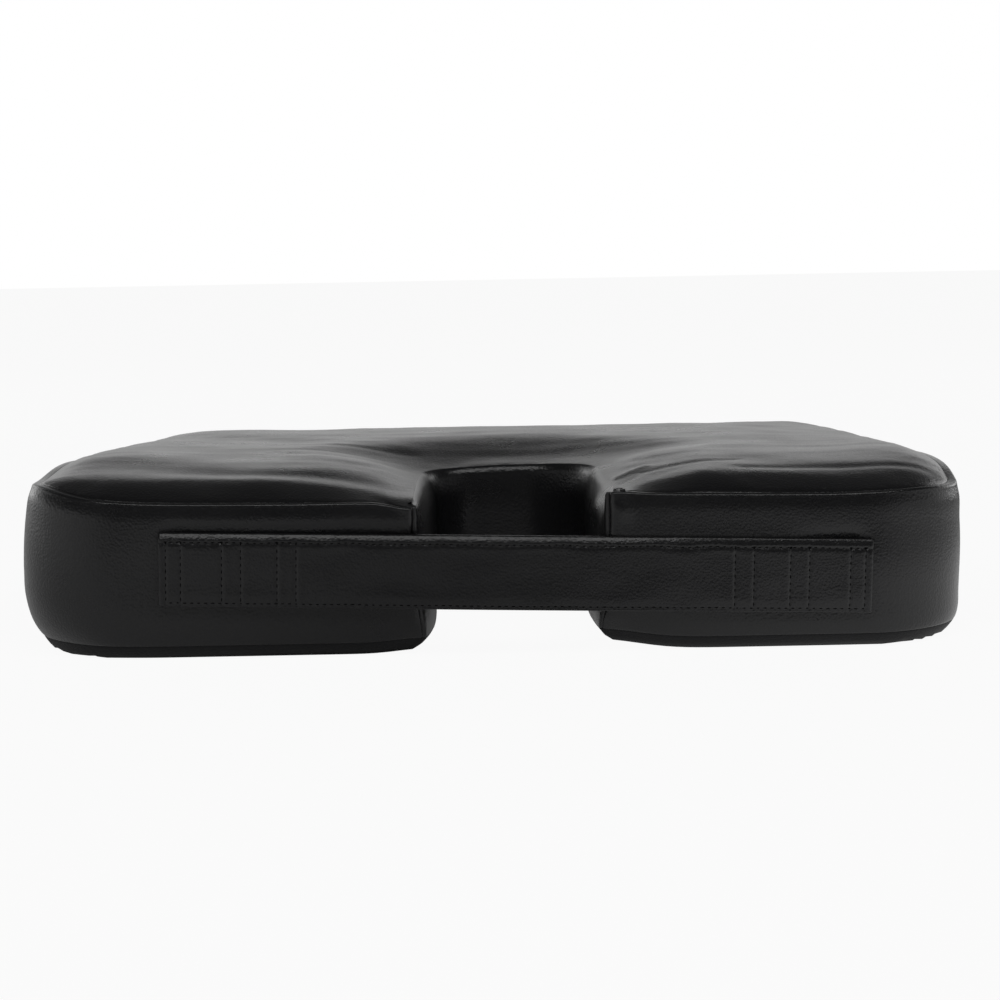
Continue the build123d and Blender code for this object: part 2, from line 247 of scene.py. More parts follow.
def planBlock(step, mouthCorner=cushion["mouthCorner"], inset=0.0):
    # upright block with the cushion's plan, from its eight corners
    c = cushion
    near, far, notchY = nearY + inset, farY - inset, nearY + c["notchDepth"] + inset
    nearHalf, farHalf = c["nearHalf"] - inset, c["farHalf"] - inset
    mouthHalf, endHalf = c["mouthHalf"] + inset, c["endHalf"] + inset
    corners = [
        (-nearHalf, near, c["nearCorner"]), (-farHalf, far, c["farCorner"]),
        (farHalf, far, c["farCorner"]), (nearHalf, near, c["nearCorner"]),
        (notchX + mouthHalf, near, mouthCorner), (notchX + endHalf, notchY, c["notchEnds"][1]),
        (notchX - endHalf, notchY, c["notchEnds"][0]), (notchX - mouthHalf, near, mouthCorner),
    ]
    bm = bmesh.new()
    base = bm.faces.new([bm.verts.new((x, y, 0)) for x, y, _ in corners])
    grown = bmesh.ops.extrude_face_region(bm, geom=[base])["geom"]
    top = [v for v in grown if isinstance(v, bmesh.types.BMVert)]
    bmesh.ops.translate(bm, verts=top, vec=(0, 0, c["blockHeight"]))
    for x, y, radius in corners:
        upright = [e for e in bm.edges if extent(e, 2) > 1
                   and (e.verts[0].co.xy - Vector((x, y))).length < 0.1]
        # an even number of segments puts an upright in the middle of each corner
        segments = max(8, 2 * round(radius * math.pi / 4 / step))
        bmesh.ops.bevel(bm, geom=upright, offset=radius, offset_type="OFFSET", segments=segments,
                        profile=0.5, affect="EDGES", material=-1)
    bmesh.ops.recalc_face_normals(bm, faces=bm.faces)
    for wall in [f for f in bm.faces if abs(f.normal.z) < 0.5]:
        level = [e for e in wall.edges if extent(e, 2) < 0.01]
        cuts = round(level[0].calc_length() / step) - 1
        if cuts > 0:
            bmesh.ops.subdivide_edges(bm, edges=level, cuts=cuts)
    return bm


def keepFaces(source, wanted):
    # a copy with only the wanted faces
    bm = source.copy()
    bmesh.ops.delete(bm, geom=[f for f in bm.faces if not wanted(f)], context="FACES")
    return bm


def cutAt(bm, geom, axis, place):
    spot, normal = [0, 0, 0], [0, 0, 0]
    spot[axis], normal[axis] = place, 1
    bmesh.ops.bisect_plane(bm, geom=geom, dist=0.001, plane_co=spot, plane_no=normal)


def cutPlanes(bm, axis, places):
    for place in places:
        cutAt(bm, bm.verts[:] + bm.edges[:] + bm.faces[:], axis, place)


def cutFaces(bm, faces, axis, place):
    # cuts only these faces
    geom = set(faces) | {e for f in faces for e in f.edges} | {v for f in faces for v in f.verts}
    cutAt(bm, list(geom), axis, place)


def insetFace(bm, face, width):
    bmesh.ops.inset_region(bm, faces=[face], thickness=width, use_boundary=True, use_even_offset=True)


def bowed(plan):
    # the sides stand out in a long bow, and the notch stays where it is
    c = cushion
    t = np.clip((plan[:, 1] - nearY) / (farY - nearY), 0, 1)
    straight = c["nearHalf"] + (c["farHalf"] - c["nearHalf"]) * t
    extra = 4 * c["bow"] * t * (1 - t)
    share = np.clip(np.abs(plan[:, 0]) / straight, 0, 1) ** 3
    return np.column_stack((plan[:, 0] + np.sign(plan[:, 0]) * extra * share, plan[:, 1]))


block = planBlock(cushion["step"])
floorFace = min(block.faces, key=lambda f: f.normal.z)
outline = bowed(placesOf(floorFace.verts)[:, :2])
area = np.sum(outline[:, 0] * np.roll(outline[:, 1], -1) - np.roll(outline[:, 0], -1) * outline[:, 1])
if area < 0:
    outline = outline[::-1]
spans = np.linalg.norm(np.roll(outline, -1, 0) - outline, axis=1)
stations = np.concatenate(([0], np.cumsum(spans)))
tangents = np.roll(outline, -1, 0) - np.roll(outline, 1, 0)
outwards = np.column_stack((tangents[:, 1], -tangents[:, 0]))
outwards /= np.linalg.norm(outwards, axis=1, keepdims=True)
weights = (spans + np.roll(spans, 1)) / 2


def placeOnPlan(plan):
    # distance in from the outline, direction out to it, and the way along it
    return nearestOn(plan, np.ones(len(outline), bool))


def nearestOn(plan, chosen):
    # the same from the chosen legs of the outline alone
    depth, out, along = [], [], []
    start, leg = outline[chosen], (np.roll(outline, -1, 0) - outline)[chosen]
    index = np.flatnonzero(chosen)
    for part in np.array_split(plan, max(1, len(plan) // 1500)):
        to = part[:, None] - start[None]
        t = np.clip((to * leg).sum(2) / (leg * leg).sum(1), 0, 1)
        gap = np.linalg.norm(to - t[..., None] * leg, axis=2)
        best = gap.argmin(1)
        row = np.arange(len(part))
        t = t[row, best]
        exact = gap[row, best]
        best = index[best]
        normal = (1 - t)[:, None] * outwards[best] + t[:, None] * outwards[(best + 1) % len(outline)]
        out.append(normal / np.linalg.norm(normal, axis=1, keepdims=True))
        along.append(stations[best] + t * spans[best])
        # further in, a rounded distance that has no crease where two walls are equally near
        spread = np.maximum((to ** 2).sum(2), 1)
        rounded = np.sqrt(2 / (weights[chosen] / spread ** 1.5).sum(1))
        share = smoothStep(3, 9, exact)
        depth.append(exact * (1 - share) + rounded * share)
    return np.concatenate(depth), np.concatenate(out), np.concatenate(along)


def mouthStation(side):
    corner = np.array([[notchX + side * cushion["mouthHalf"], nearY]])
    return placeOnPlan(corner)[2][0]


mouthStations = [mouthStation(-1), mouthStation(1)]
legMiddles = (outline + np.roll(outline, -1, 0)) / 2
notchLegs = (np.abs(legMiddles[:, 0] - notchX) < cushion["mouthHalf"] + 2.5) \
    & (legMiddles[:, 1] < nearY + cushion["notchDepth"] + 3)


def seamHeight(plan):
    # height of the seam round the top panel
    c = cushion
    x, y = plan.T
    near = c["seamNearLeft"] + (c["seamNearRight"] - c["seamNearLeft"]) * smoothStep(-30, 60, x)
    climb, fall = c["seamEnds"]
    near += climb * np.maximum(-90 - x, 0) - fall * np.maximum(x - 60, 0)
    height = near + (c["seamFar"] - near) * smoothStep(-60, 190, y)
    for at, reach, lift in seamPulls:
        height += lift * np.exp(-((x - at[0]) ** 2 + (y - at[1]) ** 2) / reach ** 2)
    return height


def strapTop(x):
    # height of the strap's upper edge, which falls a little from left to right
    fall = (sleeveHigh[2] - sleeveLow[2] - strapHeight) / (sleeveHigh[0] - sleeveLow[0])
    return sleeveHigh[2] - fall * (x - sleeveLow[0])


def quarterRound(t):
    return np.sqrt(1 - (1 - np.clip(t, 0, 1)) ** 2)


def roll(t):
    # a quarter round that leaves its seam at a slant
    start = cushion["rollStart"]
    low = quarterRound(start)
    return (quarterRound(start + (1 - start) * np.clip(t, 0, 1)) - low) / (1 - low)


def noiseField(co, size, seed):
    return np.array([noise.noise(Vector(p) / size + Vector((seed, 0, 0))) for p in co])


def topHeight(plan, rim):
    # the top panel: up from its seams in a roll, down to the notch in a long slope
    c = cushion
    x, y = plan.T
    outer = nearestOn(plan, ~notchLegs)[0]
    inner = nearestOn(plan, notchLegs)[0]
    fall = (c["nearTop"] - c["farTop"]) / (farY - nearY)
    crest = c["nearTop"] - fall * (y - nearY) + c["crown"] * smoothStep(20, 110, outer)
    crest -= c["leftDip"] * hump(outer, 44, 12) * smoothStep(-70, -110, y) * smoothStep(-20, -60, x)
    crest -= c["mouthDip"] * hump(x, -58, 34) * hump(y, nearY + 12, 55)
    apron = c["apronSide"] + (c["apronEnd"] - c["apronSide"]) * smoothStep(-75, -20, y)
    rise = 1 - (1 - np.clip(inner / apron, 0, 1)) ** 1.35
    fromNotch = (crest - rim) * (0.6 * rise + 0.4 * smoothStep(0, apron, inner))
    places, shares, reaches = np.array(c["topRolls"]).T
    share = np.interp(x, places, shares)
    share += (c["farRollShare"] - share) * smoothStep(-20, 100, y)
    slope = 1 - (1 - np.clip(outer / c["topSlope"], 0, 1)) ** 2
    rolled = roll(outer / np.interp(x, places, reaches))
    return rim + fromNotch * (share * rolled + (1 - share) * slope)


def shaped(co, part):
    # block points to the cushion's own form, in millimetres; part is wall, top or bottom
    c = cushion
    plan = bowed(co[:, :2])
    depth, out, along = placeOnPlan(plan)
    x, y = plan.T
    rim = seamHeight(plan)
    flank = smoothStep(150, 212, np.abs(x))  # 1 on the two sides
    leftFlank, rightFlank = flank * (x < 0), flank * (x > 0)
    lean = c["sideLean"][0] * leftFlank + c["sideLean"][1] * rightFlank
    tuck = c["sideTuck"][0] * leftFlank + c["sideTuck"][1] * rightFlank
    zipWall = (y > farY - 3) & (np.abs(x) < 172)
    notchMiddle = (mouthStations[0] + mouthStations[1]) / 2
    notchSpan = abs(mouthStations[1] - mouthStations[0]) / 2
    onNotch = smoothStep(2, 14, notchSpan - np.abs(along - notchMiddle))
    # how far the wall's edge turns over into the seam
    reach, height = c["notchRoll"]
    full = np.radians(c["notchTurn"])
    groove = c["groove"] * (1 - 0.5 * onNotch)
    # it is narrower at the corners of the notch's mouth, where it would fold over itself
    mouthAway = np.abs(along[:, None] - np.array(mouthStations)).min(1)
    ease = smoothStep(1, 13, mouthAway)
    ridgeIn = c["ridge"] + (c["ledge"] + c["ridgeInset"]) * ease
    seamIn = groove + ridgeIn + (reach - ridgeIn) * onNotch
    (leftMouth, leftEnd), (rightMouth, rightEnd) = c["notchLean"]
    inward = smoothStep(nearY, nearY + 110, y)
    notchLean = np.where(x < notchX, leftMouth + (leftEnd - leftMouth) * inward,
                         rightMouth + (rightEnd - rightMouth) * inward) * onNotch * np.abs(out[:, 0]) ** 2
    if part == "wall":
        t = co[:, 2] / c["blockHeight"]
        z = c["bottomSeam"] + (rim - c["bottomSeam"]) * t
        low, high = z - c["bottomSeam"], rim - z
        edge = c["ridge"] + (height - c["ridge"]) * onNotch
        turn = np.clip(1 - high / edge, 0, 1)
        over, level = np.clip(2 * turn, 0, 1) * math.pi / 2, np.clip(2 * turn - 1, 0, 1)
        ridgeZ = rim - c["ridge"] * (1 - np.sin(over)) - c["ledgeDrop"] * level ** 2
        notchZ = rim - height * (1 - np.sin(full * turn) / np.sin(full))
        z = np.where(turn > 0, ridgeZ + (notchZ - ridgeZ) * onNotch, z)
        fullest = c["swell"][0] * leftFlank + c["swell"][1] * onNotch
        swell = fullest * np.sin(np.pi * np.clip(t, 0, 1)) ** 0.8
        shift = swell - lean * np.clip(1 - high / 36, 0, 1) ** 1.3
        shift -= tuck * np.clip(1 - low / 26, 0, 1) ** 2
        shift -= c["bottomTuck"] * np.clip(1 - low / c["bottomRoll"], 0, 1) ** 2
        shift -= c["ridgeInset"] * ease * (1 - onNotch) * np.exp(-(high / 5) ** 2)
        ridgeShift = c["ridge"] * (1 - np.cos(over)) + c["ledge"] * ease * level
        notchShift = reach * (1 - np.cos(full * turn)) / (1 - np.cos(full))
        shift -= ridgeShift + (notchShift - ridgeShift) * onNotch
        shift -= notchLean * np.clip(1 - high / c["leanHeight"], 0, 1) ** 1.3
        shift -= 0.3 * np.exp(-low / 0.5) + groove * np.exp(-high / 0.25)
        shallow, deeper = c["mouthGroove"]
        for station in mouthStations:
            away = np.abs(along - station)
            shift -= (shallow + deeper * smoothStep(46, 60, z)) * np.exp(-away / 0.9)
        # the wall tucks in behind the strap's upper edge
        fromEnds = np.minimum(x - sleeveLow[0], sleeveHigh[0] - x)
        atStrap = (y < nearY + 2) * smoothStep(-1, 8, fromEnds)
        held = np.where(x < notchX, 1.0, smoothStep(130, 160, x))
        shift -= atStrap * held * c["strapTuck"] * hump(z - strapTop(x), -1.0, 3.4)
        endAway = np.abs(np.abs(x) - upperStripHigh[0])
        atEnds, atWindow, atFold = c["stripGrooves"]
        shift -= np.where(y > farY - 1, atEnds * np.exp(-endAway / 0.7), 0)
        edge = np.minimum(np.abs(z - upperStripLow[2]), np.abs(z - lowerStripHigh[2]))
        strip = (y > farY - 1) & (np.abs(x) < upperStripHigh[0] + 0.1)
        grooves = atWindow * np.exp(-edge / 0.4) + atFold * hump(edge, 3.0, 0.5)
        shift -= np.where(strip, grooves, 0)
    elif part == "top":
        high = depth
        z = topHeight(plan, rim)
        shift = -lean * np.clip(1 - depth / 34, 0, 1) - seamIn * np.exp(-depth / (8.0 + 1.4 * seamIn))
        shift -= notchLean * np.exp(-depth / 14)
        # behind a corner of the mouth the two sides' shifts would meet and fold the cover
        shift *= 1 - smoothStep(0, 3.5, depth) * (1 - smoothStep(0, 12, mouthAway - depth))
        z -= c["ledgeDrop"] * (1 - onNotch) * np.exp(-depth / 0.8)
        z -= 0.3 * groove * np.exp(-depth / 0.5)
    else:
        low = depth
        z = c["bottomSeam"] * (1 - np.clip(depth / c["bottomReach"], 0, 1)) ** 1.2
        shift = -(tuck + c["bottomTuck"]) * np.clip(1 - depth / 40, 0, 1)
        shift -= 0.3 * np.exp(-depth / 0.5)
    co = np.column_stack((plan + out * shift[:, None], z))
    # small puckers that the stitches draw in beside the top seam
    if part != "bottom":
        pucker = noiseField(np.column_stack((along / 5.5, co[:, 2] / 9, np.zeros(len(co)))), 1.0, 3.0)
        grip = c["pucker"] * np.exp(-high / 6) * smoothStep(1.5, 5.0, high) * ~zipWall
        co[:, :2] += out * (pucker * grip)[:, None]
        co[:, 2] += pucker * grip * (part == "top")
    if part == "wall":
        # the foam behind the strap's wall is never quite flat
        soft = noiseField(np.column_stack((along / 60, co[:, 2] / 26, np.zeros(len(co)))), 1.0, 5.0)
        clear = smoothStep(3, 16, high) * smoothStep(3, 16, low) * ~zipWall
        co[:, :2] += out * (c["softWall"] * soft * clear)[:, None]
    if part == "top":
        inside = smoothStep(6, 26, depth)
        broad, small, ripple = c["softTop"]
        co[:, 2] += inside * (broad * noiseField(co, 60.0, 1.0) + small * noiseField(co, 24.0, 2.0))
        co[:, 2] += inside * ripple * noiseField(co * np.array((0.12, 1, 0)), 11.0, 6.0)
        for start, end, width, height in creases:
            start, end = np.array(start, float), np.array(end, float)
            leg = end - start
            t = ((co[:, :2] - start) @ leg) / (leg @ leg)
            near = start + np.clip(t, 0, 1)[:, None] * leg
            away = np.linalg.norm(co[:, :2] - near, axis=1)
            co[:, 2] += height * hump(away, 0, width / 2) * smoothStep(1, 6, depth)
    for pull in pulls:
        reach = np.linalg.norm((co - np.array(pull["at"])) / np.array(pull["reach"]), axis=1)
        co += np.exp(-reach ** 2)[:, None] * np.array(pull["move"])
    if part == "wall":
        co[:, 1] = np.where(zipWall, np.minimum(co[:, 1], farY), co[:, 1])
    co[:, 2] = np.maximum(co[:, 2], 0.0)
    return co


def fillingPush():
    # remeshed block, filled by a little cloth pressure: where its points were, and how far each moved
    c = cushion
    coarse = planBlock(c["fillStep"])
    start = placesOf(coarse.verts)
    start[:, :2] = bowed(start[:, :2])
    ratio = start[:, 2] / c["blockHeight"]
    start[:, 2] = ratio * (seamHeight(start[:, :2]) + 4)
    moveTo(coarse.verts, start * mm)
    solid = newObject("fillingBlock", coarse)
    remesh = solid.modifiers.new("remesh", "REMESH")
    remesh.mode, remesh.voxel_size = "VOXEL", c["voxel"] * mm
    form = bpy.data.objects.new("fillingForm", meshOf(solid))
    scene.collection.objects.link(form)
    bpy.data.objects.remove(solid)
    start = points(form.data)
    moved = start.copy()
    cloth = form.modifiers.new("cloth", "CLOTH")
    cloth.settings.use_pressure = True
    cloth.settings.uniform_pressure_force = c["pressure"]
    cloth.settings.effector_weights.gravity = 0
    cloth.point_cache.frame_start, cloth.point_cache.frame_end = 1, c["frames"]
    for step in range(1, c["frames"] + 1):
        scene.frame_set(step)
    moved = points(meshOf(form))
    scene.frame_set(1)
    bpy.data.objects.remove(form)
    push = (moved - start) / mm
    length = np.maximum(np.linalg.norm(push, axis=1, keepdims=True), 1e-6)
    push *= c["cap"] * (1 - np.exp(-length / c["capEase"])) / length
    print("filling: %d points, furthest push %.1f mm" % (len(start), length.max()))
    tree = KDTree(len(start))
    for i, p in enumerate(start / mm):
        tree.insert(p, i)
    tree.balance()
    return tree, push


fillTree, fillPush = fillingPush()


def filled(co, part):
    # adds the filling's push, fading out at the seams, the strap's wall and the zip's wall
    plan = co[:, :2]
    depth = placeOnPlan(plan)[0]
    move = np.zeros_like(co)
    for i, p in enumerate(co):
        near = fillTree.find_n(p, 6)
        share = np.array([1 / (gap + 1.0) for _, _, gap in near])
        move[i] = (fillPush[[n for _, n, _ in near]] * share[:, None]).sum(0) / share.sum()
    if part == "top":
        # it fades out slowly towards the end of the notch, where the slope is long
        inner = nearestOn(plan, notchLegs)[0]
        fade = 20 + 60 * smoothStep(-75, -20, plan[:, 1])
        weight = smoothStep(3, 20, depth) * smoothStep(0, fade, inner)
        move[:, :2] *= 0.2
    elif part == "wall":
        high = seamHeight(plan) - co[:, 2]
        clear = smoothStep(1.5, 14, high) * smoothStep(1.5, 14, co[:, 2] - cushion["bottomSeam"])
        flat = ((plan[:, 1] < nearY + 3) | (plan[:, 1] > farY - 3)) & (np.abs(plan[:, 0]) < 176)
        weight = 0.3 * clear * ~flat
        move[:, 2] = 0
    else:
        weight = np.zeros(len(co))
    return co + move * weight[:, None]


def shapeMesh(bm, part):
    # gives a flat-sided part of the block its real form, in metres
    moveTo(bm.verts, filled(shaped(placesOf(bm.verts), part), part) * mm)


def turnIn(bm):
    # the seam allowance: each open edge runs on into the cushion
    c = cushion
    rim = [e for e in bm.edges if e.is_boundary]
    grown = bmesh.ops.extrude_edge_only(bm, edges=rim)["geom"]
    lip = [v for v in grown if isinstance(v, bmesh.types.BMVert)]
    co = placesOf(lip) / mm
    out = placeOnPlan(co[:, :2])[1]
    # behind the zip's window there is only the cover's own thickness
    byZip = (co[:, 1] > farY - 4) & (np.abs(co[:, 0]) < 160) & (co[:, 2] > 14) & (co[:, 2] < 57)
    length = np.where(byZip, c["thickness"], c["lip"])
    # at the top seam it hangs down inside the wall, and at the bottom seam it stands up
    hangs, stands = smoothStep(58, 62, co[:, 2]), smoothStep(12, 8, co[:, 2])
    co[:, :2] -= out * (length * (1 - 0.6 * (hangs + stands)))[:, None]
    co[:, 2] += 0.8 * length * (stands - hangs)
    moveTo(lip, co * mm)


walls = keepFaces(block, lambda f: abs(f.normal.z) < 0.5)
topPlate = keepFaces(block, lambda f: f.normal.z > 0.5)
bottomPlate = keepFaces(block, lambda f: f.normal.z < -0.5)

# Rows up the wall, close together beside the seams and the zip's window
farSeam = seamHeight(np.array([[0.0, farY]]))[0]
wallScale = cushion["blockHeight"] / (farSeam - cushion["bottomSeam"])
windowEdges = lowerStripHigh[2], upperStripLow[2]
windowRows = [(edge - cushion["bottomSeam"]) * wallScale for edge in windowEdges]
rows = [0.15, 0.3, 0.45, 0.6, 0.75, 0.9, 1.2, 1.7, 2.3, 3.0, 3.8, 4.6, 5.6, 6.8]
rows += [cushion["blockHeight"] - row for row in rows]
rows += list(np.arange(9.0, 52.0, 2.8))
rows = [row for row in rows if min(abs(row - w) for w in windowRows) > 1.2]
for edge, away in zip(windowRows, (-1, 1)):
    rows += [edge + away * gap for gap in (0, 0.4, 1.0, 2.2, 3.0, 3.8)]
cutPlanes(walls, 2, sorted(rows))
# Uprights where the zip's strips meet the side panels
for x in [side * (upperStripHigh[0] + gap) for side in (-1, 1) for gap in (-1.4, -0.6, 0, 0.6, 1.4)]:
    farWall = [f for f in walls.faces if f.calc_center_median().y > farY - 0.5]
    cutFaces(walls, farWall, 0, x)

for plate, insets, grid in ((topPlate, (0.3, 0.4, 0.5, 0.7, 0.9, 1.2), cushion["topGrid"]),
                            (bottomPlate, (0.5, 0.7, 1.0, 1.2), cushion["bottomGrid"])):
    middle = max(plate.faces, key=lambda f: f.calc_area())
    for inset in insets:
        insetFace(plate, middle, inset)
        middle = max(plate.faces, key=lambda f: f.calc_area())
    cutPlanes(plate, 0, np.arange(-halfWidth + grid * 0.43, halfWidth, grid))
    cutPlanes(plate, 1, np.arange(nearY + grid * 0.43, farY, grid))
    bmesh.ops.remove_doubles(plate, verts=plate.verts, dist=0.12)
counts = tuple(len(part.faces) for part in (walls, topPlate, bottomPlate))
print("block: %d wall, %d top and %d bottom faces" % counts)


def onNotchWall(face):
    # from the middle of one mouth corner, round the notch, to the middle of the other
    c = cushion
    at = face.calc_center_median()
    across, back = c["mouthHalf"] + c["mouthCorner"] - abs(at.x - notchX), at.y - nearY
    return across > 0 and back < c["notchDepth"] + 1 and across + back - c["mouthCorner"] > 0


def onStrip(face):
    at = face.calc_center_median()
    return at.y > farY - 0.5 and abs(at.x) < upperStripHigh[0]


def onSide(face, side):
    onward = side * (face.calc_center_median().x - notchX)
    return onward > 0 and not onNotchWall(face) and not onStrip(face)


panels = {
    "cover_top": ("top_panel", topPlate, "top", lambda f: True),
    "cover_bottom": ("bottom_panel", bottomPlate, "bottom", lambda f: True),
    "cover_notch": ("notch_panel", walls, "wall", onNotchWall),
    "cover_side_left": ("side_panel_left", walls, "wall", lambda f: onSide(f, -1)),
    "cover_side_right": ("side_panel_right", walls, "wall", lambda f: onSide(f, 1)),
    "cover_zip_strip_upper": ("zip_strip_upper", walls, "wall",
                              lambda f: onStrip(f) and f.calc_center_median().z > windowRows[1]),
    "cover_zip_strip_lower": ("zip_strip_lower", walls, "wall",
                              lambda f: onStrip(f) and f.calc_center_median().z < windowRows[0]),
}

coverPieces = {}
for name, (node, source, part, wanted) in panels.items():
    bm = keepFaces(source, wanted)
    shapeMesh(bm, part)
    turnIn(bm)
    piece = newObject(name, bm)
    wall = piece.modifiers.new("thickness", "SOLIDIFY")
    wall.thickness, wall.offset = cushion["thickness"] * mm, -1
    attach(piece, "cushion")
    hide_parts(node)
    coverPieces[name] = piece
    print("cover:", name, len(piece.data.polygons), "faces")


def foamBlock():
    # the foam under the cover: the same form, smaller all round, with rounder corners at the mouth
    c = cushion
    bm = planBlock(c["foamStep"], c["foamCorner"], c["foamInset"])
    for face in bm.faces:
        face.material_index = 1 if face.normal.z > 0.5 else 2 if face.normal.z < -0.5 else 0
    cutPlanes(bm, 2, (1.5, 4, 8, 20, 32, 44, 52, 56, 58.5))
    for tag, grid in enumerate(c["foamGrids"], 1):
        middle = next(f for f in bm.faces if f.material_index == tag)
        for inset in (1.2, 2.2):
            insetFace(bm, middle, inset)
        for axis, low, high in ((0, -halfWidth, halfWidth), (1, nearY, farY)):
            for place in np.arange(low + grid / 2, high, grid):
                cutFaces(bm, [f for f in bm.faces if f.material_index == tag], axis, place)
    tags = np.array([max(f.material_index for f in v.link_faces) if all(
        f.material_index for f in v.link_faces) else 0 for v in bm.verts])
    co = placesOf(bm.verts)
    formed = np.zeros_like(co)
    for tag, part in enumerate(("wall", "top", "bottom")):
        formed[tags == tag] = shaped(co[tags == tag], part)
    formed[:, 2] = c["foamGap"] + formed[:, 2] * (1 - 2 * c["foamGap"] / c["nearTop"])
    moveTo(bm.verts, formed * mm)
    for face in bm.faces:
        face.material_index = 0
    return bm


foam = newObject("foam_block", foamBlock())
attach(foam, "cushion")
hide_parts("foam_core")
print("foam:", len(foam.data.polygons), "faces")

# Carry strap, made lying along its own axes: u along it, v up it, w out of the cushion

strap = {
    "height": strapHeight,
    "thickness": 3.4,
    "edge": 0.6,  # radius of the folded edges
    "tilt": 1.6,  # degrees, right end down
    "stitch": 3.2,  # pitch of the stitches
    "topStitch": 4.1,  # from the top fold to its stitch line
    "bottomStitch": 1.8,
    "crossStitches": (3.4, 10.2, 29.0, 37.7, 54.3, 63.0),  # from each end
    "thread": 0.3,
    "step": 0.8,  # spacing of the rows across it
    "foldBack": (1.6, 0.3, 0.45),  # how far the top fold slopes back, its rim more, the right end less
    "foldOut": 0.6,
    "lowerOut": 2.0,  # over the notch, where nothing holds it, its lower part stands out
    # how deep each line of stitches is drawn in, and what each stitch adds
    "topPull": (0.14, 0.3),
    "bottomPull": (0.1, 0.22),
    "crossPull": (0.22, 0.3),
    "padding": (0.28, 0.35),  # how far the field between the stitches stands out, and its unevenness
}
tilt = math.radians(strap["tilt"])
strap["length"] = (sleeveHigh[0] - sleeveLow[0] - strap["height"] * math.sin(tilt)) / math.cos(tilt)
strapMiddle = (sleeveLow + sleeveHigh) / 2
strapPlace = Matrix.Translation(Vector(strapMiddle)) @ Matrix.Rotation(tilt, 4, "Y")


def drawnIn(depths, along):
    # how deep a line of stitches lies, along itself
    line, stitch = depths
    return line + stitch * (0.5 + 0.5 * np.cos(2 * math.pi * along / strap["stitch"]))


def strapRelief(u, v):
    # how far the strap's face stands out, from its stitch lines, folds and padding
    s = strap
    half, tall = s["length"] / 2, s["height"] / 2
    wander = np.array([noise.noise(Vector((p / 14, 0, 4))) for p in u]) * 0.5
    topLine = tall - s["topStitch"] + wander
    bottomLine = -tall + s["bottomStitch"] + wander * 0.5
    # above its stitch line the fold slopes back to the top, less so towards the right
    fold = np.clip((v - topLine) / s["topStitch"], 0, 1)
    slopes, rim, less = s["foldBack"]
    back = (slopes * fold + rim * smoothStep(0.7, 1.0, fold)) * (1 - less * smoothStep(40, 110, u))
    relief = (s["foldOut"] - back) * smoothStep(-0.3, 0.6, v - topLine)
    relief -= drawnIn(s["topPull"], u) * hump(v, topLine, 0.5)
    relief -= drawnIn(s["bottomPull"], u) * hump(v, bottomLine, 0.45)
    relief += 0.16 * hump(v, topLine - 2.0, 1.2)
    relief += s["lowerOut"] * hump(u, 0, 105) * ((tall - v) / (2 * tall)) ** 2
    fromEnd = half - np.abs(u)
    between = (v < topLine + 0.4) & (v > bottomLine - 0.4)
    for place in s["crossStitches"]:
        relief -= between * drawnIn(s["crossPull"], v) * hump(fromEnd, place, 0.55)
        relief += between * 0.12 * hump(fromEnd, place + 2.0, 1.6)
    relief += 0.35 * hump(fromEnd, 1.2, 1.2)
    inside = smoothStep(0, 4, topLine - v) * smoothStep(0, 4, v - bottomLine)
    soft = np.array([noise.noise(Vector((a / 22, b / 13, 9))) for a, b in zip(u, v)])
    return relief + inside * (s["padding"][0] + s["padding"][1] * soft)


def strapSleeve():
    s = strap
    bm = bmesh.new()
    bmesh.ops.create_cube(bm, size=1)
    bmesh.ops.scale(bm, verts=bm.verts, vec=(s["length"], s["thickness"], s["height"]))
    long = [e for e in bm.edges if extent(e, 0) > 1]
    bmesh.ops.bevel(bm, geom=long, offset=s["edge"], offset_type="OFFSET", segments=5, profile=0.5,
                    affect="EDGES", material=-1)
    ends = [e for e in bm.edges if extent(e, 0) < 0.01]
    bmesh.ops.bevel(bm, geom=ends, offset=0.7, offset_type="OFFSET", segments=3, profile=0.5,
                    affect="EDGES", material=-1)
    top, low = s["height"] / 2 - s["topStitch"], -s["height"] / 2 + s["bottomStitch"]
    rows = [top + gap for gap in (-3, -2.2, -1.6, -1.1, -0.6, -0.2, 0.2, 0.6, 1.1, 1.8)]
    rows += [low + gap for gap in (0, 0.5, 1.0, 1.8)] + list(np.arange(low + 2.8, top - 3.4, 1.07))
    cutPlanes(bm, 2, rows)
    cutPlanes(bm, 1, (-0.75, 0.0, 0.75))
    half = s["length"] / 2
    for place in s["crossStitches"]:
        for side in (-1, 1):
            cutPlanes(bm, 0, [side * (half - place - gap) for gap in (-0.9, -0.4, 0, 0.4, 0.9)])
    long = [e for e in bm.edges if extent(e, 0) > 1]
    for length in {round(e.calc_length(), 1) for e in long}:
        same = [e for e in bm.edges if abs(e.calc_length() - length) < 0.06 and extent(e, 0) > 1]
        cuts = round(length / s["step"]) - 1
        if cuts > 0 and same:
            bmesh.ops.subdivide_edges(bm, edges=same, cuts=cuts)
    co = placesOf(bm.verts)
    front = smoothStep(0.2, 1.2, -co[:, 1])
    co[:, 1] -= front * strapRelief(co[:, 0], co[:, 2])
    moveTo(bm.verts, co)
    return bm


def finishStrap(name, bm):
    bm.transform(Matrix.Scale(mm, 4) @ strapPlace)
    bmesh.ops.recalc_face_normals(bm, faces=bm.faces)
    piece = newObject(name, bm)
    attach(piece, "cushion")
    return piece


sleeve = finishStrap("carry_strap", strapSleeve())
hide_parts("handle_sleeve")
print("strap:", len(sleeve.data.polygons), "faces")


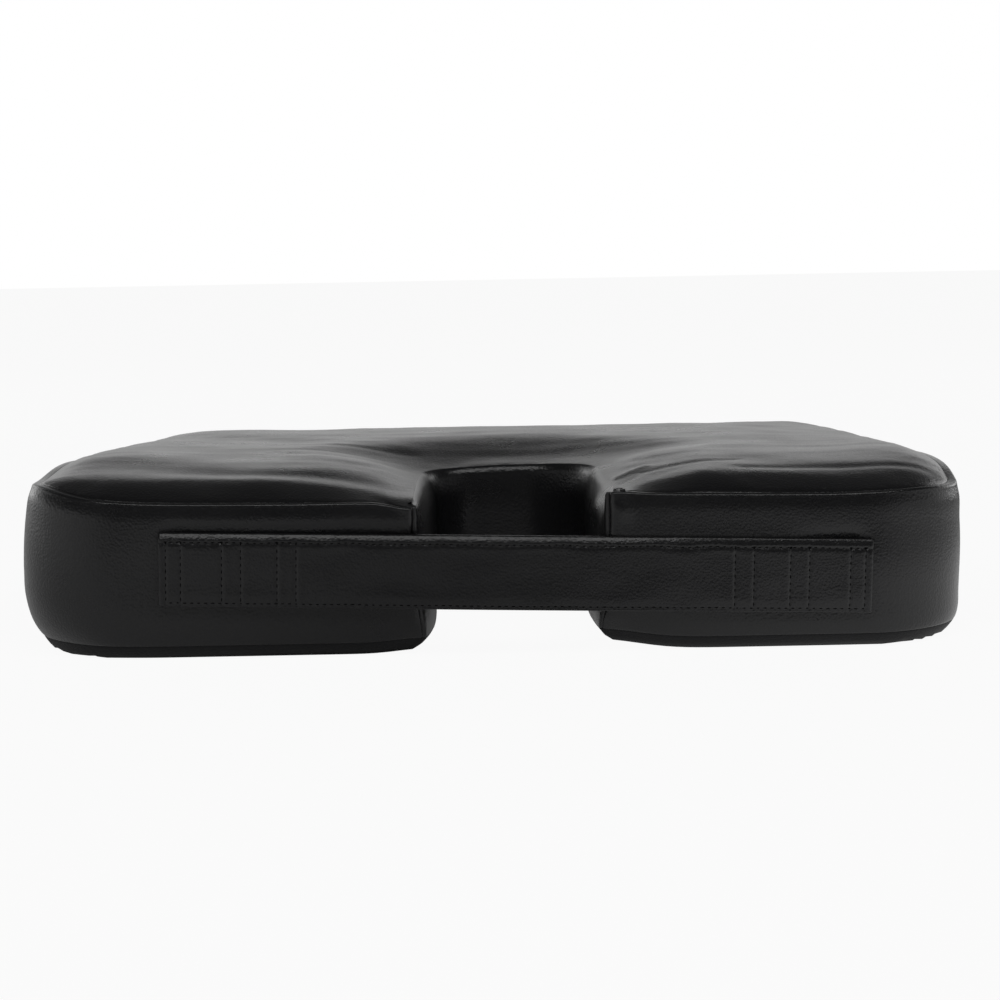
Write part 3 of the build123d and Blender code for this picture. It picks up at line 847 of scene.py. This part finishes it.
def stitches(places, along):
    # one small rounded thread at each place on the strap's face
    s = strap
    bm = bmesh.new()
    places = np.array(places)
    relief = strapRelief(places[:, 0], places[:, 1])
    for (u, v), out in zip(places, relief):
        # no two stitches pull quite the same
        long = s["stitch"] * (0.3 + 0.16 * noise.noise(Vector((u * 3, v * 3, 8))))
        size = (long, s["thread"], s["thread"]) if along else (s["thread"], s["thread"], long)
        at = Matrix.Translation((u, -s["thickness"] / 2 - out + 0.05, v))
        matrix = at @ Matrix.Diagonal((*size, 1))
        bmesh.ops.create_uvsphere(bm, u_segments=6, v_segments=4, radius=1, matrix=matrix)
    return bm


def edgeStitchPlaces():
    s = strap
    half, tall = s["length"] / 2, s["height"] / 2
    us = np.arange(-half + 4, half - 4, s["stitch"]) + s["stitch"] / 2
    wander = [noise.noise(Vector((u / 14, 0, 4))) * 0.5 for u in us]
    top = [(u, tall - s["topStitch"] + w) for u, w in zip(us, wander)]
    return top + [(u, -tall + s["bottomStitch"] + w * 0.5) for u, w in zip(us, wander)]


def crossStitchPlaces(side):
    s = strap
    half, tall = s["length"] / 2, s["height"] / 2
    vs = np.arange(-tall + s["bottomStitch"] + 1.6, tall - s["topStitch"] - 0.8, s["stitch"])
    return [(side * (half - place), v) for place in s["crossStitches"] for v in vs]


threads = [
    finishStrap("strap_edge_stitching", stitches(edgeStitchPlaces(), True)),
    finishStrap("handle_stitching_left", stitches(crossStitchPlaces(-1), False)),
    finishStrap("handle_stitching_right", stitches(crossStitchPlaces(1), False)),
]
print("stitches:", sum(len(t.data.polygons) for t in threads), "faces")


def maths(tree, operation, first, second):
    node = addNode(tree, "ShaderNodeMath", {"operation": operation}, {}, {0: first, 1: second})
    return node.outputs[0]


def ramp(tree, source, spanFrom, spanTo, kind="SMOOTHSTEP"):
    # a value that goes through spanTo while its source goes through spanFrom
    values = dict(zip(("From Min", "From Max", "To Min", "To Max"), (*spanFrom, *spanTo)))
    node = addNode(tree, "ShaderNodeMapRange", {"interpolation_type": kind}, values, {"Value": source})
    return node.outputs["Result"]


def bumpInto(tree, shader, strength, heightMm, pattern):
    # raises the surface by a pattern, whose full height is in real millimetres
    values = {"Strength": strength, "Distance": heightMm * mm}
    bump = addNode(tree, "ShaderNodeBump", {}, values, {"Height": pattern})
    tree.links.new(bump.outputs["Normal"], shader.inputs["Normal"])


def newMaterial(name, colour, roughness, values=None):
    material = bpy.data.materials.new(name)
    material.use_nodes = True
    tree = material.node_tree
    shader = tree.nodes["Principled BSDF"]
    shader.inputs["Base Color"].default_value = hexColour(colour)
    shader.inputs["Roughness"].default_value = roughness
    for key, value in (values or {}).items():
        shader.inputs[key].default_value = value
    where = addNode(tree, "ShaderNodeTexCoord").outputs["Object"]
    return material, tree, shader, where


def leatherette(name, roughness, grainMm, extras=None):
    # PU-coated fabric, embossed and lacquered: near black, semi-gloss, with a fine pebble grain
    # that breaks its highlights up and hardly changes its colour
    material, tree, shader, where = newMaterial(name, "1B1B1C", roughness, extras)
    values = {"Scale": 1 / (grainMm * mm), "Smoothness": 0.6, "Randomness": 0.9}
    cells = addNode(tree, "ShaderNodeTexVoronoi", {"feature": "SMOOTH_F1"}, values, {"Vector": where})
    fine = addNode(tree, "ShaderNodeTexNoise", {}, {"Scale": 0.6 / (grainMm * mm), "Detail": 3.0},
                   {"Vector": where})
    grain = addNode(tree, "ShaderNodeMath", {"operation": "MULTIPLY_ADD"}, {1: 0.5},
                    {0: fine.outputs["Fac"], 2: cells.outputs["Distance"]})
    bumpInto(tree, shader, 0.6, 0.2, grain.outputs[0])
    patches = addNode(tree, "ShaderNodeTexNoise", {}, {"Scale": 1 / (45 * mm), "Detail": 4.0},
                      {"Vector": where}).outputs["Fac"]
    worn = ramp(tree, patches, (0, 1), (roughness - 0.04, roughness + 0.05), "LINEAR")
    tree.links.new(worn, shader.inputs["Roughness"])
    tint = addNode(tree, "ShaderNodeMix", {"data_type": "RGBA"},
                   {6: hexColour("18181A"), 7: hexColour("1E1E1F")}, {0: patches})
    tree.links.new(tint.outputs[2], shader.inputs["Base Color"])
    return material


coverLeather = leatherette("embossed PU leatherette", 0.28, 1.2)
strapLeather = leatherette("folded PU leatherette", 0.3, 1.1)
# the underside is the same leatherette with its sheen turned down, so the band below the walls renders
# dark: painted shade standing in for the shade under the cushion
underShadeLeather = leatherette("matt PU leatherette with painted underside shade", 0.6, 1.2, {"Specular IOR Level": 0.25})
for name, piece in coverPieces.items():
    piece.data.materials.clear()
    # the bottom panel takes the dulled copy, which is painted shade
    piece.data.materials.append(underShadeLeather if name == "cover_bottom" else coverLeather)
sleeve.data.materials.append(strapLeather)


def sewingThread():
    # bonded polyester thread, twisted: duller and darker than the leatherette, so each stitch is a dark
    # dash; partly the thread's own matt black, partly painted shade of the holes that the stitches sink
    # into
    material, tree, shader, where = newMaterial("bonded polyester thread", "0A0A0B", 0.9,
                                                {"Specular IOR Level": 0.12})
    twist = addNode(tree, "ShaderNodeTexWave", {}, {"Scale": 1 / (0.9 * mm), "Distortion": 1.0},
                    {"Vector": where})
    bumpInto(tree, shader, 0.4, 0.05, twist.outputs["Fac"])
    return material


def foamMaterial():
    # cut polyurethane foam: open cells under a millimetre that make it matt and pale
    material, tree, shader, where = newMaterial("slabstock polyurethane foam", "E6DCC0", 0.95)
    cells = addNode(tree, "ShaderNodeTexVoronoi", {}, {"Scale": 1 / (1.6 * mm)}, {"Vector": where})
    bumpInto(tree, shader, 0.6, 0.5, cells.outputs["Distance"])
    return material


def wovenMaterial(name, colour, threadMm):
    # woven polyester: two crossed sets of threads with a dull sheen
    material, tree, shader, where = newMaterial(name, colour, 0.75, {"Sheen Weight": 0.25})
    values = {"Scale": 0.05 / (threadMm * mm), "Distortion": 0.2}
    warp, weft = [addNode(tree, "ShaderNodeTexWave", {"bands_direction": axis}, values,
                          {"Vector": where}).outputs["Fac"] for axis in ("X", "Z")]
    bumpInto(tree, shader, 0.6, 0.15, maths(tree, "MULTIPLY", warp, weft))
    return material


def mouldedAcetal():
    # injection-moulded acetal: slightly waxy black with a fine texture from the mould
    material, tree, shader, where = newMaterial("moulded acetal", "121213", 0.38)
    fine = addNode(tree, "ShaderNodeTexNoise", {}, {"Scale": 1 / (0.6 * mm)}, {"Vector": where})
    bumpInto(tree, shader, 0.15, 0.05, fine.outputs["Fac"])
    return material


def enamelledZinc():
    # die-cast zinc under stoved black enamel: smooth and glossy, with a little orange peel
    material, tree, shader, where = newMaterial("enamelled zinc alloy", "101011", 0.22,
                                                {"Coat Weight": 0.4})
    peel = addNode(tree, "ShaderNodeTexNoise", {}, {"Scale": 1 / (1.5 * mm)}, {"Vector": where})
    bumpInto(tree, shader, 0.1, 0.05, peel.outputs["Fac"])
    return material


def dress(names, material):
    for name in names:
        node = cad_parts[name]
        node.data.materials.clear()
        node.data.materials.append(material)


foam.data.materials.append(foamMaterial())
# the thread's darkness is partly painted shade of the stitch holes
threadAndStitchShade = sewingThread()
for piece in threads:
    piece.data.materials.append(threadAndStitchShade)
dress(("handle_core",), wovenMaterial("polypropylene webbing", "161616", 1.2))
dress(("zip_tape_upper", "zip_tape_lower"), wovenMaterial("woven polyester tape", "131314", 0.5))
dress(("zip_teeth_upper", "zip_teeth_lower", "zip_top_stops", "zip_bottom_stop"), mouldedAcetal())
dress(("zip_slider", "zip_pull"), enamelledZinc())
for name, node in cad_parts.items():
    if not node.data.materials:
        node.data.materials.append(coverLeather)
print("materials: done")


studio = {
    "lens": 79.5,  # a long lens a little above the cushion, facing the strap edge
    "camera": (0.0042, -1.175, 0.2),
    "down": 7.30,  # degrees that it looks down,
    "roll": -1.09,  # and leans over
    # where the floor glows for reflections only: a painted reflection on the cushion's front
    "reflectionGlowSpot": (0.4, -0.2, 0),
    # each softbox: name, place, size and power
    "softboxes": (("left", (-1.4, 1.3, 0.6), (0.8, 1.0), 3), ("right", (1.5, 1.2, 0.6), (0.8, 1.0), 3),
                  ("key", (0.1, -1.25, 1.65), (2.6, 0.7), 15)),
    "aim": (0, 0, 0.04),
}


def studioFloor():
    # a wide pale floor; the camera sees it close to white, and it keeps the cushion's shadow
    bm = bmesh.new()
    bmesh.ops.create_grid(bm, x_segments=1, y_segments=1, size=6)
    bmesh.ops.translate(bm, verts=bm.verts, vec=(0, 0, -0.0004))
    floor = newObject("floor", bm)
    material = bpy.data.materials.new("matt paper sweep")
    material.use_nodes = True
    tree = material.node_tree
    shader = tree.nodes["Principled BSDF"]
    shader.inputs["Base Color"].default_value = hexColour("E8E8E8")
    shader.inputs["Roughness"].default_value = 0.9
    rays = addNode(tree, "ShaderNodeLightPath").outputs
    seen = maths(tree, "MAXIMUM", rays["Is Camera Ray"], rays["Is Transmission Ray"])
    # for reflections only, the floor glows white near a spot to the right and a little towards the left:
    # a painted reflection that makes the cushion's front brighter near its right end
    where = addNode(tree, "ShaderNodeTexCoord").outputs["Object"]
    across = addNode(tree, "ShaderNodeSeparateXYZ", {}, {}, {0: where}).outputs["X"]
    away = addNode(tree, "ShaderNodeVectorMath", {"operation": "DISTANCE"}, {1: studio["reflectionGlowSpot"]},
                   {0: where})
    right = ramp(tree, away.outputs["Value"], (0.1, 0.45), (0.85, 0.03), "LINEAR")
    left = ramp(tree, across, (0.0, -0.25), (0.0, 0.2))
    # painted reflection: a white glow that only glossy rays see
    mirrored = maths(tree, "MULTIPLY", maths(tree, "ADD", right, left), rays["Is Glossy Ray"])
    share = addNode(tree, "ShaderNodeMath", {"operation": "MULTIPLY_ADD"}, {1: 0.94},
                    {0: seen, 2: mirrored})
    glow = addNode(tree, "ShaderNodeEmission", {}, {"Color": (1, 1, 1, 1), "Strength": 1.0})
    mix = addNode(tree, "ShaderNodeMixShader", {}, {},
                  {0: share.outputs[0], 1: shader.outputs[0], 2: glow.outputs[0]})
    tree.links.new(mix.outputs[0], tree.nodes["Material Output"].inputs["Surface"])
    floor.data.materials.append(material)


def studioWorld():
    # white behind the cushion, dim in front of it and above
    world = bpy.data.worlds.new("studio")
    scene.world = world
    world.use_nodes = True
    tree = world.node_tree
    background = tree.nodes["Background"]
    way = addNode(tree, "ShaderNodeTexCoord").outputs["Generated"]
    parts = addNode(tree, "ShaderNodeSeparateXYZ", {}, {}, {0: way})
    behind = ramp(tree, parts.outputs["Y"], (-0.1, 0.85), (0.07, 1.0))
    above = ramp(tree, parts.outputs["Z"], (0.04, 0.36), (1.0, 0.04))
    across = addNode(tree, "ShaderNodeMath", {"operation": "ABSOLUTE"}, {}, {0: parts.outputs["X"]})
    sideways = ramp(tree, across.outputs[0], (0.2, 0.95), (0.0, 0.4))
    light = maths(tree, "MULTIPLY", maths(tree, "ADD", behind, sideways), above)
    rays = addNode(tree, "ShaderNodeLightPath").outputs
    seen = maths(tree, "MAXIMUM", rays["Is Camera Ray"], rays["Is Transmission Ray"])
    # in a reflection it is white where it stands behind the cushion
    mirrored = maths(tree, "MULTIPLY", rays["Is Glossy Ray"], light)
    seen = maths(tree, "MAXIMUM", seen, mirrored)
    strength = addNode(tree, "ShaderNodeMix", {"data_type": "FLOAT"}, {3: 1.0}, {0: seen, 2: light})
    background.inputs["Color"].default_value = (1, 1, 1, 1)
    tree.links.new(strength.outputs[0], background.inputs["Strength"])


def softbox(name, place, size, power):
    lamp = bpy.data.lights.new(name, "AREA")
    lamp.shape, lamp.size, lamp.size_y, lamp.energy = "RECTANGLE", size[0], size[1], power
    holder = bpy.data.objects.new(name, lamp)
    scene.collection.objects.link(holder)
    holder.location = place
    towards = Vector(studio["aim"]) - Vector(place)
    holder.rotation_euler = towards.to_track_quat("-Z", "Y").to_euler()


def studioCamera():
    camera = bpy.data.cameras.new("camera")
    camera.lens, camera.sensor_width = studio["lens"], 36
    holder = bpy.data.objects.new("camera", camera)
    scene.collection.objects.link(holder)
    turn = Matrix.Rotation(math.radians(90 - studio["down"]), 4, "X")
    turn = turn @ Matrix.Rotation(math.radians(studio["roll"]), 4, "Z")
    holder.matrix_world = Matrix.Translation(studio["camera"]) @ turn
    scene.camera = holder


studioFloor()
studioWorld()
for name, place, size, power in studio["softboxes"]:
    softbox(name, place, size, power)
studioCamera()
scene.view_settings.view_transform = "Standard"
print("studio: done")
